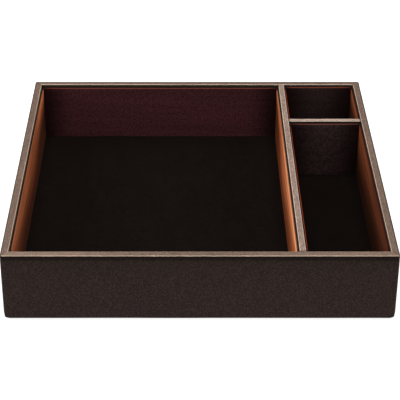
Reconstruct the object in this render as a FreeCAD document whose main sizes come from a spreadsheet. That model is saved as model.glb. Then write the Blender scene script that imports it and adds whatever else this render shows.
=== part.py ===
import FreeCAD, Part
import os
import Sketcher

# A square desk tray: boards under folded leather, parted into three bays
# that are lined with velvet over card, on a sheet of felt.
# X runs from left to right, Y from front to back and Z up, in millimetres.
# The origin is under the middle of the tray, on the surface it stands on.

document = FreeCAD.newDocument("desk_tray")
sheet = document.addObject("Spreadsheet::Sheet", "Sizes")

driving_sizes = [
    ("tray_width", 317.5, "outside, left to right"),
    ("tray_depth", 317.5, "outside, front to back"),
    ("tray_height", 61.0, "from the underside of the felt to the rim"),
    ("end_board", 5.0, "thickness of the front and back wall boards"),
    ("side_board", 4.3, "thickness of the left and right wall boards"),
    ("divider_board", 3.1, "thickness of the two divider boards"),
    ("base_board", 3.0, "thickness of the base board"),
    ("long_divider_x", 82.1, "middle of the long divider, right of the tray's middle"),
    ("cross_divider_y", 76.4, "middle of the cross divider, behind the tray's middle"),
    ("corner_rabbet", 2.5, "how deep the side walls sit in the front and back walls"),
    ("base_rabbet", 2.0, "how deep the base sits in the walls"),
    ("dado", 1.5, "how deep a divider's end sits in the board that holds it"),
    ("leather", 1.1, "thickness of the leather"),
    ("leather_fold", 0.7, "outside radius of the leather round an edge"),
    ("leather_corner", 1.6, "outside radius of the leather at the tray's upright corners"),
    ("turn_in", 15.0, "how far the leather reaches down inside, from the rim"),
    ("card", 0.8, "thickness of the wall lining's card"),
    ("floor_card", 0.5, "thickness of the floor lining's card"),
    ("velvet", 0.5, "thickness of the velvet"),
    ("velvet_fold", 0.7, "outside radius of the velvet over the top of its card"),
    ("velvet_turn", 10.0, "how far the velvet reaches down behind its card"),
    ("main_bay_drop", 3.2, "from the rim down to the lining of the main bay"),
    ("side_bay_drop", 2.4, "from the rim down to the lining of the side bays"),
    ("lining_gap", 0.2, "slack between linings that meet"),
    ("felt", 1.0, "thickness of the felt"),
    ("felt_inset", 2.0, "from the tray's outside to the felt's edge"),
    ("felt_corner", 3.0, "radius of the felt's corners"),
    ("brad_shank", 1.2, "diameter of a brad"),
    ("brad_length", 18.0, "length of a brad with its head"),
    ("brad_head", 2.0, "diameter of a brad's head"),
    ("brad_head_height", 0.6, "thickness of a brad's head"),
    ("fit_gap", 0.1, "slack round a board in its dado or rabbet, and at the ends of leather caps"),
    ("overrun", 5.0, "how far a cut runs on past the piece that it cuts"),
]
for row, (name, number, note) in enumerate(driving_sizes, 1):
    sheet.set(f"A{row}", name)
    sheet.set(f"B{row}", str(number))
    sheet.setAlias(f"B{row}", name)
    sheet.set(f"C{row}", note)
document.recompute()

# A fold takes at most this share of the finished thickness that it rounds.
fold_share = 0.45
# Two points nearer than this are one.
same_place = 1e-6
# Heights of the brads, as shares of the board's height that they go into.
corner_brad_shares = (0.2, 0.5, 0.8)
divider_brad_shares = (0.3, 0.7)

# Finished thicknesses: a board between two layers of leather, a card between two of velvet.
end_wall = "(Sizes.end_board + 2 * Sizes.leather)"
side_wall = "(Sizes.side_board + 2 * Sizes.leather)"
divider = "(Sizes.divider_board + 2 * Sizes.leather)"
lining = "(Sizes.card + 2 * Sizes.velvet)"

# Heights, from the surface that the tray stands on.
rim = "Sizes.tray_height"
board_top = f"({rim} - Sizes.leather)"
board_foot = "(Sizes.felt + Sizes.leather)"
base_top = "(Sizes.felt + Sizes.base_board)"
floor_card_top = f"({base_top} + Sizes.floor_card)"
floor_top = f"({floor_card_top} + Sizes.velvet)"
turn_in_edge = f"({rim} - Sizes.turn_in)"

# Half sizes in plan: outside, under the leather, inside of the boards, edge of the base.
half_width = "(Sizes.tray_width / 2)"
half_depth = "(Sizes.tray_depth / 2)"
board_out_x = f"({half_width} - Sizes.leather)"
board_out_y = f"({half_depth} - Sizes.leather)"
board_in_x = f"({board_out_x} - Sizes.side_board)"
board_in_y = f"({board_out_y} - Sizes.end_board)"
base_x = f"({board_in_x} + Sizes.base_rabbet)"
base_y = f"({board_in_y} + Sizes.base_rabbet)"
side_end_y = f"({board_in_y} + Sizes.corner_rabbet)"

# Finished faces that bound the three bays.
inner_x = f"({half_width} - {side_wall})"
inner_y = f"({half_depth} - {end_wall})"
long_left = f"(Sizes.long_divider_x - {divider} / 2)"
long_right = f"(Sizes.long_divider_x + {divider} / 2)"
cross_front = f"(Sizes.cross_divider_y - {divider} / 2)"
cross_back = f"(Sizes.cross_divider_y + {divider} / 2)"

pieces = []


def value(expression):
    return float(sheet.evalExpression(expression))


def keep(item, label):
    item.Label = label
    pieces.append(item)
    return item


def place(item, x, y, z, rotation=FreeCAD.Rotation()):
    item.Placement = FreeCAD.Placement(FreeCAD.Vector(), rotation)
    for axis, where in zip("xyz", (x, y, z)):
        item.setExpression(f"Placement.Base.{axis}", where)


def turned(degrees):
    return FreeCAD.Rotation(FreeCAD.Vector(0, 0, 1), degrees)


def centred(half):
    return f"-{half}", half


def widened(span, margin):
    low, high = span
    return f"({low} - {margin})", f"({high} + {margin})"


# A block between two faces across each axis; a span is the pair of faces.
def block(label, across, along, upright):
    box = document.addObject("Part::Box", label)
    spans = (across, along, upright)
    for side, (low, high) in zip(("Length", "Width", "Height"), spans):
        box.setExpression(side, f"{high} - {low}")
    place(box, across[0], along[0], upright[0])
    return box


def cut(label, item, tools):
    for number, tool in enumerate(tools, 1):
        blank = item
        item = document.addObject("Part::Cut", f"{label}_cut_{number}")
        item.Base = blank
        item.Tool = tool
    return item


# Closed outlines whose corners are held by distances from the sketch's own axes.
def outline_sketch(body, plane, label, outlines):
    sketch = body.newObject("Sketcher::SketchObject", label)
    support = next(item for item in body.Origin.OriginFeatures if item.Role == plane)
    sketch.AttachmentSupport = (support, "")
    sketch.MapMode = "FlatFace"
    for corners in outlines:
        first = sketch.GeometryCount
        count = len(corners)
        points = [FreeCAD.Vector(value(x), value(y), 0) for x, y in corners]
        for start, end in zip(points, points[1:] + points[:1]):
            sketch.addGeometry(Part.LineSegment(start, end), False)
        for number in range(count):
            following = first + (number + 1) % count
            sketch.addConstraint(Sketcher.Constraint("Coincident", first + number, 2, following, 1))
        for number, (x, y) in enumerate(corners, first):
            hold_corner(sketch, number, "DistanceX", x, -2)
            hold_corner(sketch, number, "DistanceY", y, -1)
    return sketch


def hold_corner(sketch, line, direction, where, axis):
    if where == "0":
        sketch.addConstraint(Sketcher.Constraint("PointOnObject", line, 1, axis))
        return
    held = Sketcher.Constraint(direction, -1, 1, line, 1, value(where))
    number = sketch.addConstraint(held)
    sketch.setExpression(f"Constraints[{number}]", where)


# A section in Y and Z carried along X from 0, with its fold corners rounded.
def carried(label, section, length, folds=(), radius=None):
    body = document.addObject("PartDesign::Body", label)
    pad = body.newObject("PartDesign::Pad", f"{label}_run")
    pad.Profile = outline_sketch(body, "YZ_Plane", f"{label}_section", [section])
    pad.setExpression("Length", length)
    document.recompute()
    if folds:
        corners = [(value(y), value(z)) for y, z in folds]
        fold = body.newObject("PartDesign::Fillet", f"{label}_fold")
        fold.Base = (pad, [f"Edge{number}" for number in edges_along_x(pad.Shape, corners)])
        fold.setExpression("Radius", radius)
        document.recompute()
    return body


# Numbers of the edges that run along X through the given corners of the section.
def edges_along_x(shape, corners):
    found = []
    for number, edge in enumerate(shape.Edges, 1):
        for y, z in corners:
            offsets = [abs(end.Y - y) + abs(end.Z - z) for end in edge.Vertexes]
            if max(offsets) < same_place:
                found.append(number)
    return found


# A flat sheet centred over the origin, with rounded corners.
def rounded_sheet(label, across, along, thickness, radius):
    body = document.addObject("PartDesign::Body", label)
    pad = body.newObject("PartDesign::Pad", f"{label}_sheet")
    corners = [("0", "0"), (across, "0"), (across, along), ("0", along)]
    pad.Profile = outline_sketch(body, "XY_Plane", f"{label}_plan", [corners])
    pad.setExpression("Length", thickness)
    document.recompute()
    upright_edges = [
        f"Edge{number}" for number, edge in enumerate(pad.Shape.Edges, 1)
        if abs(edge.Vertexes[0].Z - edge.Vertexes[-1].Z) > value(thickness) / 2]
    rounding = body.newObject("PartDesign::Fillet", f"{label}_corners")
    rounding.Base = (pad, upright_edges)
    rounding.setExpression("Radius", radius)
    document.recompute()
    place(body, f"-{across} / 2", f"-{along} / 2", "0")
    return body


# Both ends of a leather cover are cut back from the tray's outside corner to its inside corner.
def mitre_ends(body, label, length, own_wall, next_wall):
    reach = f"({own_wall} + Sizes.overrun)"
    run = f"({reach} * {next_wall} / {own_wall})"
    near_end = [("0", "0"), (run, reach), ("0", reach)]
    far_end = [(length, "0"), (length, reach), (f"({length} - {run})", reach)]
    full_volume = body.Shape.Volume
    mitre = body.newObject("PartDesign::Pocket", f"{label}_mitre")
    mitre.Profile = outline_sketch(body, "XY_Plane", f"{label}_mitre_plan", [near_end, far_end])
    mitre.Type = "ThroughAll"
    mitre.Reversed = True
    document.recompute()
    if body.Shape.Volume >= full_volume:
        raise RuntimeError(f"the ends of {label} are not mitred")


# One brad with its head at the given place, driven along a direction.
def brad(label, x, y, z, direction):
    shank = document.addObject("Part::Cylinder", f"{label}_shank")
    shank.setExpression("Radius", "Sizes.brad_shank / 2")
    shank.setExpression("Height", "Sizes.brad_length")
    head = document.addObject("Part::Cylinder", f"{label}_head")
    head.setExpression("Radius", "Sizes.brad_head / 2")
    head.setExpression("Height", "Sizes.brad_head_height")
    nail = document.addObject("Part::Fuse", label)
    nail.Base = shank
    nail.Tool = head
    place(nail, x, y, z, FreeCAD.Rotation(FreeCAD.Vector(0, 0, 1), FreeCAD.Vector(*direction)))
    return nail


def brad_group(label, brads):
    group = document.addObject("Part::Compound", label)
    group.Links = brads
    return keep(group, label)


def height_share(foot, share):
    return f"({foot} + {share} * ({board_top} - {foot}))"


# Brads through the front and back walls into the ends of the side walls.
corner_nails = []
for side in (-1, 1):
    for end in (-1, 1):
        for share in corner_brad_shares:
            corner_nails.append(brad(
                "corner_brad",
                f"{side} * ({board_out_x} - Sizes.side_board / 2)",
                f"{end} * {board_out_y}",
                height_share(board_foot, share),
                (0, -end, 0)))
corner_brads = brad_group("corner_brads", corner_nails)

# Brads through the walls into the ends of the dividers.
divider_nails = []
for share in divider_brad_shares:
    height = height_share(base_top, share)
    for end in (-1, 1):
        divider_nails.append(brad(
            "divider_brad", "Sizes.long_divider_x", f"{end} * {board_out_y}", height, (0, -end, 0)))
    divider_nails.append(brad("divider_brad", board_out_x, "Sizes.cross_divider_y", height, (-1, 0, 0)))
divider_brads = brad_group("divider_brads", divider_nails)

# Where each board sits: the spans of the boards, and the spaces that hold them.
wall_height = (board_foot, board_top)
divider_height = (base_top, board_top)
base_height = ("Sizes.felt", base_top)
base_across = centred(base_x)
base_along = centred(base_y)
front_along = (f"-{board_out_y}", f"-{board_in_y}")
back_along = (board_in_y, board_out_y)
left_across = (f"-{board_out_x}", f"-{board_in_x}")
right_across = (board_in_x, board_out_x)
side_along = centred(side_end_y)
long_across = ("(Sizes.long_divider_x - Sizes.divider_board / 2)",
               "(Sizes.long_divider_x + Sizes.divider_board / 2)")
long_along = centred(f"({board_in_y} + Sizes.dado)")
cross_across = (f"({long_across[1]} - Sizes.dado)", f"({board_in_x} + Sizes.dado)")
cross_along = ("(Sizes.cross_divider_y - Sizes.divider_board / 2)",
               "(Sizes.cross_divider_y + Sizes.divider_board / 2)")

gap = "Sizes.fit_gap"
base_space = block(
    "base_space", widened(base_across, gap), widened(base_along, gap), ("0", base_top))
left_space = block(
    "left_space", (f"-{half_width}", f"(-{board_in_x} + {gap})"), widened(side_along, gap), ("0", rim))
right_space = block(
    "right_space", (f"({board_in_x} - {gap})", half_width), widened(side_along, gap), ("0", rim))
long_space = block(
    "long_space", widened(long_across, gap), widened(long_along, gap), divider_height)
cross_space = block(
    "cross_space", widened(cross_across, gap), widened(cross_along, gap), divider_height)

# Wall boards.
end_across = centred(board_out_x)
end_cuts = [left_space, right_space, base_space, long_space, corner_brads, divider_brads]
front_blank = block("front_wall_blank", end_across, front_along, wall_height)
keep(cut("front_wall", front_blank, end_cuts), "front_wall_board")
back_blank = block("back_wall_blank", end_across, back_along, wall_height)
keep(cut("back_wall", back_blank, end_cuts), "back_wall_board")
left_blank = block("left_wall_blank", left_across, side_along, wall_height)
keep(cut("left_wall", left_blank, [base_space, corner_brads]), "left_wall_board")
right_blank = block("right_wall_blank", right_across, side_along, wall_height)
right_cuts = [base_space, cross_space, corner_brads, divider_brads]
keep(cut("right_wall", right_blank, right_cuts), "right_wall_board")

# Base and divider boards.
keep(block("base", base_across, base_along, base_height), "base_board")
long_blank = block("long_divider_blank", long_across, long_along, divider_height)
keep(cut("long_divider", long_blank, [cross_space, divider_brads]), "long_divider_board")
cross_blank = block("cross_divider_blank", cross_across, cross_along, divider_height)
keep(cut("cross_divider", cross_blank, [divider_brads]), "cross_divider_board")


# Section of the leather over a wall: under the foot, up the outside, over the rim and down inside.
def wall_section(wall, board):
    inner_face = f"(Sizes.leather + {board})"
    under_edge = f"({inner_face} - Sizes.base_rabbet - {gap})"
    return [
        ("0", "Sizes.felt"),
        ("0", rim),
        (wall, rim),
        (wall, turn_in_edge),
        (inner_face, turn_in_edge),
        (inner_face, board_top),
        ("Sizes.leather", board_top),
        ("Sizes.leather", board_foot),
        (under_edge, board_foot),
        (under_edge, "Sizes.felt"),
    ]


# Leather over the four walls, mitred where two covers meet.
ends = ("Sizes.tray_width", end_wall, "Sizes.end_board", side_wall)
flanks = ("Sizes.tray_depth", side_wall, "Sizes.side_board", end_wall)
leather_covers = [
    ("front_leather", ends, f"-{half_width}", f"-{half_depth}", 0, [long_space]),
    ("right_leather", flanks, half_width, f"-{half_depth}", 90, [cross_space]),
    ("back_leather", ends, half_width, half_depth, 180, [long_space]),
    ("left_leather", flanks, f"-{half_width}", half_depth, 270, []),
]
rounded_tray = rounded_sheet(
    "rounded_tray", "Sizes.tray_width", "Sizes.tray_depth", rim, "Sizes.leather_corner")
for name, (length, own_wall, board, next_wall), x, y, degrees, slots in leather_covers:
    section = wall_section(own_wall, board)
    leather_radius = f"min(Sizes.leather_fold; {fold_share} * {own_wall})"
    cover = carried(f"{name}_fold", section, length, section[:3], leather_radius)
    mitre_ends(cover, name, length, own_wall, next_wall)
    place(cover, x, y, "0", turned(degrees))
    rounded = document.addObject("Part::Common", f"{name}_rounded")
    rounded.Base = cut(name, cover, slots)
    rounded.Tool = rounded_tray
    keep(rounded, name)

# Leather caps over the dividers.
cap_section = [
    ("0", turn_in_edge),
    ("0", rim),
    (divider, rim),
    (divider, turn_in_edge),
    ("(Sizes.leather + Sizes.divider_board)", turn_in_edge),
    ("(Sizes.leather + Sizes.divider_board)", board_top),
    ("Sizes.leather", board_top),
    ("Sizes.leather", turn_in_edge),
]
cap_folds = cap_section[1:3]
cap_radius = f"min(Sizes.leather_fold; {fold_share} * {divider})"
long_cap_length = f"2 * ({inner_y} - {gap})"
long_cap = carried("long_cap", cap_section, long_cap_length, cap_folds, cap_radius)
place(long_cap, long_right, f"-({inner_y} - {gap})", "0", turned(90))
keep(cut("long_cap_slot", long_cap, [cross_space]), "long_divider_leather")
cross_cap_length = f"({inner_x} - {long_right} - 2 * {gap})"
cross_cap = carried("cross_cap", cap_section, cross_cap_length, cap_folds, cap_radius)
place(cross_cap, f"({long_right} + {gap})", cross_front, "0")
keep(cross_cap, "cross_divider_leather")

# Linings: every bay has four upright cards wrapped in velvet, on a floor of card and velvet.
velvet_radius = f"min(Sizes.velvet_fold; {fold_share} * {lining})"
velvet_behind = "(Sizes.velvet + Sizes.card)"


def upright_lining(label, length, drop, x, y, degrees):
    height = f"({rim} - {drop} - {floor_top})"
    card_top = f"({height} - Sizes.velvet)"
    turn_edge = f"({height} - Sizes.velvet_turn)"
    velvet_section = [
        ("0", "0"),
        ("0", height),
        (lining, height),
        (lining, turn_edge),
        (velvet_behind, turn_edge),
        (velvet_behind, card_top),
        ("Sizes.velvet", card_top),
        ("Sizes.velvet", "0"),
    ]
    card_section = [
        ("Sizes.velvet", "0"),
        ("Sizes.velvet", card_top),
        (velvet_behind, card_top),
        (velvet_behind, "0"),
    ]
    velvet = carried(f"{label}_velvet", velvet_section, length, velvet_section[1:3], velvet_radius)
    card = carried(f"{label}_card", card_section, length)
    for item, name in ((velvet, f"{label}_velvet"), (card, f"{label}_card")):
        place(item, x, y, floor_top, turned(degrees))
        keep(item, name)


def bay_lining(bay, across, along, drop):
    left, right = across
    front, back = along
    slack = "Sizes.lining_gap"
    full_run = f"({right} - {left} - 2 * {slack})"
    inset = f"({lining} + {slack})"
    side_run = f"({back} - {front} - 2 * {inset})"
    upright_lining(f"{bay}_back", full_run, drop, f"({left} + {slack})", f"({back} - {lining})", 0)
    upright_lining(f"{bay}_front", full_run, drop, f"({right} - {slack})", f"({front} + {lining})", 180)
    upright_lining(f"{bay}_left", side_run, drop, f"({left} + {lining})", f"({front} + {inset})", 90)
    upright_lining(f"{bay}_right", side_run, drop, f"({right} - {lining})", f"({back} - {inset})", 270)
    reach = f"(Sizes.leather - {slack})"
    floor_across = widened(across, reach)
    floor_along = widened(along, reach)
    card = block(f"{bay}_floor_card", floor_across, floor_along, (base_top, floor_card_top))
    velvet = block(f"{bay}_floor_velvet", floor_across, floor_along, (floor_card_top, floor_top))
    keep(card, f"{bay}_floor_card")
    keep(velvet, f"{bay}_floor_velvet")


bay_lining("main_bay", (f"-{inner_x}", long_left), centred(inner_y), "Sizes.main_bay_drop")
bay_lining("long_bay", (long_right, inner_x), (f"-{inner_y}", cross_front), "Sizes.side_bay_drop")
bay_lining("small_bay", (long_right, inner_x), (cross_back, inner_y), "Sizes.side_bay_drop")

# Felt under the base, with rounded corners.
felt_x = "(Sizes.tray_width - 2 * Sizes.felt_inset)"
felt_y = "(Sizes.tray_depth - 2 * Sizes.felt_inset)"
felt = rounded_sheet("felt", felt_x, felt_y, "Sizes.felt", "Sizes.felt_corner")
keep(felt, "base_felt")

document.recompute()
for item in document.Objects:
    if "Invalid" in item.State or "Error" in item.State:
        raise RuntimeError(f"{item.Label} could not be made")
for item in pieces:
    if item.Shape.isNull() or not item.Shape.isValid():
        raise RuntimeError(f"{item.Label} has no sound shape")

os.makedirs("parts", exist_ok=True)
for item in pieces:
    item.Shape.exportStep(os.path.join("parts", f"{item.Label}.step"))
    print(f"{item.Label}: {len(item.Shape.Solids)} solids, {item.Shape.Volume:.1f} cubic mm")
print(f"{len(pieces)} nodes")
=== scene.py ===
import math

import bpy
import numpy as np
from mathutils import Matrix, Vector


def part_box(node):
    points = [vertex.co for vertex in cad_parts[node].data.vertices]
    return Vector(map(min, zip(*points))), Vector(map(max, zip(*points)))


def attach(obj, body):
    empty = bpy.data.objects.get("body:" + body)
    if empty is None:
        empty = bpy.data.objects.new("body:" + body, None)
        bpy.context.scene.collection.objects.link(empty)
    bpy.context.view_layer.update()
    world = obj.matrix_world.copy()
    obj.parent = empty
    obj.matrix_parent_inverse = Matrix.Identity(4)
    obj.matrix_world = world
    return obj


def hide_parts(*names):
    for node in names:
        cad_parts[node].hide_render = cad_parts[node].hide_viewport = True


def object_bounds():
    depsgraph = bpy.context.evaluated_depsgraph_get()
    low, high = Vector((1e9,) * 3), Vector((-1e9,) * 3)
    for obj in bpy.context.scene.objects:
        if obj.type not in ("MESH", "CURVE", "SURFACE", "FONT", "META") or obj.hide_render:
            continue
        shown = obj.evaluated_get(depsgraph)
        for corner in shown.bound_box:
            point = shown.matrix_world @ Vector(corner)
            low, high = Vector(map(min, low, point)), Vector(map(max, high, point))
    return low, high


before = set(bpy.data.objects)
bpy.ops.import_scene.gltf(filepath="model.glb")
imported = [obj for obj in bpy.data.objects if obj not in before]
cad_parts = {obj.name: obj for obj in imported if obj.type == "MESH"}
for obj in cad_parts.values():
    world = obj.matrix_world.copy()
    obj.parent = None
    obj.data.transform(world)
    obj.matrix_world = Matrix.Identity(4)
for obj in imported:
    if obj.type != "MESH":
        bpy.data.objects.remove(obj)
cadLow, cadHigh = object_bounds()  # the CAD box, before anything is dressed
print("frame loaded:", len(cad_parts), "nodes")

mm = 0.001  # lengths below are written in millimetres and scaled once
upward = np.array([0.0, 0.0, 1.0])
sharpFold = math.radians(50.0)  # edges that turn by more than this are shaded sharp
tiny = 1e-9  # keeps a divisor from being zero
waves = {"count": 9, "lengths": (0.6, 1.8), "gain": 0.9}  # what makes a sheet uneven
body = "root"
bays = ("main_bay", "long_bay", "small_bay")
sides = ("front", "right", "back", "left")  # anticlockwise from above


# lowest and highest corner of a CAD node, as arrays
def nodeSpan(node):
    low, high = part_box(node)
    return np.array(low), np.array(high)


# cubic ramp: 0 below low, 1 above high, 3t^2 - 2t^3 between
def smoothRamp(low, high, value):
    share = np.clip((value - low) / (high - low), 0.0, 1.0)
    return share * share * (3.0 - 2.0 * share)


# straight blend of a pair of values: the first where share is 0, the second where it is 1
def between(pair, share):
    return pair[0] + (pair[1] - pair[0]) * share


# slow unevenness from 0 to 1: a half plus the gain times the mean of sine waves, which run over two
# coordinates in seeded directions
def unevenness(first, second, wavelength, seed):
    draw = np.random.default_rng(seed)
    turn = draw.uniform(0.0, math.tau, waves["count"])
    length = wavelength * draw.uniform(*waves["lengths"], waves["count"])
    phase = draw.uniform(0.0, math.tau, waves["count"])
    first = first[..., None] * np.cos(turn)
    second = second[..., None] * np.sin(turn)
    total = np.sin(math.tau * (first + second) / length + phase).mean(axis=-1)
    return np.clip(0.5 + waves["gain"] * total, 0.0, 1.0)


# how far a cut edge draws back: a quarter circle of that radius over the last stretch of a sheet
def softEnd(distance, radius):
    left = 1.0 - np.clip(distance / radius, 0.0, 1.0)
    return radius * (1.0 - np.sqrt(1.0 - left * left))


# places along a run: close together near both ends, then even steps between
def runPlaces(length, nearEnd, step):
    nearEnd = np.array(nearEnd) * mm
    count = max(2, math.ceil((length - 2.0 * nearEnd[-1]) / step))
    middle = np.linspace(nearEnd[-1], length - nearEnd[-1], count + 1)[1:-1]
    return np.concatenate([nearEnd, middle, length - nearEnd[::-1]])


# a section that folds at right angles: straight runs between corners, each corner an arc of the fold's
# radius, walked so that the outside lies to the left; gives points, outward directions, distance walked
def foldedSection(corners, radius, steps, arcSteps):
    corners = np.array(corners)
    legs = np.diff(corners, axis=0)
    headings = legs / np.linalg.norm(legs, axis=1)[:, None]
    outward = np.stack([-headings[:, 1], headings[:, 0]], axis=1)
    points, normals = [], []
    start = corners[0]
    for leg in range(len(legs)):
        last = leg == len(legs) - 1
        end = corners[leg + 1] - (0.0 if last else radius) * headings[leg]
        count = max(1, math.ceil(np.linalg.norm(end - start) / steps[leg]))
        share = np.linspace(0.0, 1.0, count + 1)[: count + (1 if last else 0), None]
        points.append(start + share * (end - start))
        normals.append(np.repeat(outward[leg][None], len(share), axis=0))
        if not last:
            angle = np.linspace(0.0, math.pi / 2.0, arcSteps + 1)[:-1, None]
            bend = np.cos(angle) * outward[leg] + np.sin(angle) * outward[leg + 1]
            centre = end - radius * outward[leg]
            points.append(centre + radius * bend)
            normals.append(bend)
            start = centre + radius * outward[leg + 1]
    points, normals = np.concatenate(points), np.concatenate(normals)
    walked = np.concatenate([[0.0], np.cumsum(np.linalg.norm(np.diff(points, axis=0), axis=1))])
    return points, normals, walked


# a section carried straight along a run: its outside, drawn in a little, and its inside one thickness deeper
def straightSweep(start, places, alongWay, acrossWay, section, outward, drawnIn, thickness):
    layers = []
    for sunk in (drawnIn, thickness):
        across = section[:, :1] - sunk * outward[:, :1]
        height = section[:, 1:] - sunk * outward[:, 1:]
        layers.append(start + places[None, :, None] * alongWay + across[..., None] * acrossWay
                      + height[..., None] * upward)
    return layers


# places on a flat sheet, across and along it, and how far each lies from the nearest edge
def flatGrid(width, length, size):
    across, along = np.meshgrid(runPlaces(width, size["nearEnd"], size["step"]),
                                runPlaces(length, size["nearEnd"], size["step"]), indexing="ij")
    edge = np.minimum(np.minimum(across, width - across), np.minimum(along, length - along))
    return across, along, edge


# a closed sheet from two grids of points, its outside and its inside, joined round their four edges
def sheetPiece(name, outside, inside, flatPlace, marks, material):
    rows, columns = outside.shape[:2]
    count = rows * columns
    points = np.concatenate([outside.reshape(-1, 3), inside.reshape(-1, 3)])
    index = np.arange(count).reshape(rows, columns)
    quads = np.stack([index[:-1, :-1], index[1:, :-1], index[1:, 1:], index[:-1, 1:]], axis=-1)
    quads = quads.reshape(-1, 4)
    ring = np.concatenate([index[:-1, 0], index[-1, :-1], index[:0:-1, -1], index[0, :0:-1]])
    after = np.roll(ring, -1)
    edge = np.stack([after, ring, ring + count, after + count], axis=-1)
    faces = np.concatenate([quads, quads[:, ::-1] + count, edge])
    corner = points[faces]
    volume = np.einsum("ij,ij->", corner[:, 0], np.cross(corner[:, 1], corner[:, 2]))
    volume += np.einsum("ij,ij->", corner[:, 0], np.cross(corner[:, 2], corner[:, 3]))
    if volume < 0.0:
        faces = faces[:, ::-1]
    mesh = bpy.data.meshes.new(name)
    mesh.from_pydata(points, [], faces.tolist())
    place = np.tile(flatPlace.reshape(-1, 2), (2, 1))[faces.ravel()]
    mesh.uv_layers.new(name="flat").data.foreach_set("uv", place.astype(np.float32).ravel())
    for mark, values in marks.items():
        values = np.tile(np.broadcast_to(values, (rows, columns)).reshape(-1), 2).astype(np.float32)
        mesh.attributes.new(mark, "FLOAT", "POINT").data.foreach_set("value", values)
    mesh.polygons.foreach_set("use_smooth", np.ones(len(faces), bool))
    mesh.set_sharp_from_angle(angle=sharpFold)
    mesh.materials.append(material)
    piece = bpy.data.objects.new(name, mesh)
    bpy.context.scene.collection.objects.link(piece)
    return piece


# a new piece takes over its node, whose CAD part is hidden, and rides with the tray
def settle(piece, node):
    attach(piece, body)
    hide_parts(node)


# a shader node in its place, with its settings
def addNode(tree, kind, place, **settings):
    node = tree.nodes.new(kind)
    node.location = place
    for name, value in settings.items():
        setattr(node, name, value)
    return node


# plain values for a node's named inputs
def setInputs(node, **values):
    for name, value in values.items():
        node.inputs[name.replace("_", " ")].default_value = value


# a node group with an input and an output node, and its named sockets
def newGroup(name, inputs, outputs):
    tree = bpy.data.node_groups.new(name, "ShaderNodeTree")
    for way, sockets in (("INPUT", inputs), ("OUTPUT", outputs)):
        for socket, kind in sockets.items():
            tree.interface.new_socket(socket, in_out=way, socket_type="NodeSocket" + kind)
    return tree, addNode(tree, "NodeGroupInput", (-900, 0)), addNode(tree, "NodeGroupOutput", (900, 0))


# a new material, its nodes and its shader
def newMaterial(name):
    material = bpy.data.materials.new(name)
    material.use_nodes = True
    tree = material.node_tree
    shader = tree.nodes["Principled BSDF"]
    return material, tree, shader


# a group put to use, with its plain values
def placeGroup(tree, group, place, **values):
    node = addNode(tree, "ShaderNodeGroup", place)
    node.node_tree = group
    setInputs(node, **values)
    return node


# each value goes into its socket, as a link where the value is a socket too
def feed(tree, *pairs):
    for socket, value in pairs:
        if isinstance(value, bpy.types.NodeSocket):
            tree.links.new(value, socket)
        else:
            socket.default_value = value


# a texture over given coordinates
def addTexture(tree, kind, place, vector, **values):
    node = addNode(tree, "ShaderNodeTex" + kind, place)
    tree.links.new(vector, node.inputs["Vector"])
    feed(tree, *((node.inputs[name], value) for name, value in values.items()))
    return node


# bumps a shader's surface by a height, to a depth in millimetres
def addBump(tree, place, shader, height, strength, depth):
    bump = addNode(tree, "ShaderNodeBump", place)
    setInputs(bump, Distance=depth * mm)
    feed(tree, (bump.inputs["Strength"], strength), (bump.inputs["Height"], height))
    tree.links.new(bump.outputs["Normal"], shader.inputs["Normal"])


# a mark that a sheet carries at its points
def readMark(tree, place, name):
    return addNode(tree, "ShaderNodeAttribute", place, attribute_name=name).outputs["Fac"]


# blends two colours by a factor
def mixColours(tree, place, factor, first, second):
    node = addNode(tree, "ShaderNodeMix", place, data_type="RGBA")
    feed(tree, (node.inputs[0], factor), (node.inputs[6], first), (node.inputs[7], second))
    return node.outputs[2]


# stretches a value from one range to another
def remap(tree, place, value, fromRange, toRange=(0.0, 1.0)):
    node = addNode(tree, "ShaderNodeMapRange", place)
    setInputs(node, From_Min=fromRange[0], From_Max=fromRange[1], To_Min=toRange[0], To_Max=toRange[1])
    tree.links.new(value, node.inputs["Value"])
    return node.outputs["Result"]


# one sum on two values
def arithmetic(tree, place, operation, first, second):
    node = addNode(tree, "ShaderNodeMath", place, operation=operation)
    feed(tree, (node.inputs[0], first), (node.inputs[1], second))
    return node.outputs[0]


hidePattern = {
    "warpScale": 420.0, "warpReach": 0.7 * mm, "domeWidth": 0.32, "creaseWidth": 0.12,
    "poreScale": 2600.0, "poreShare": 0.35,
    "cellRange": (0.28, 0.72), "cellShare": 0.85, "patchRange": (0.36, 0.64), "patchShare": 0.15,
}


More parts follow.
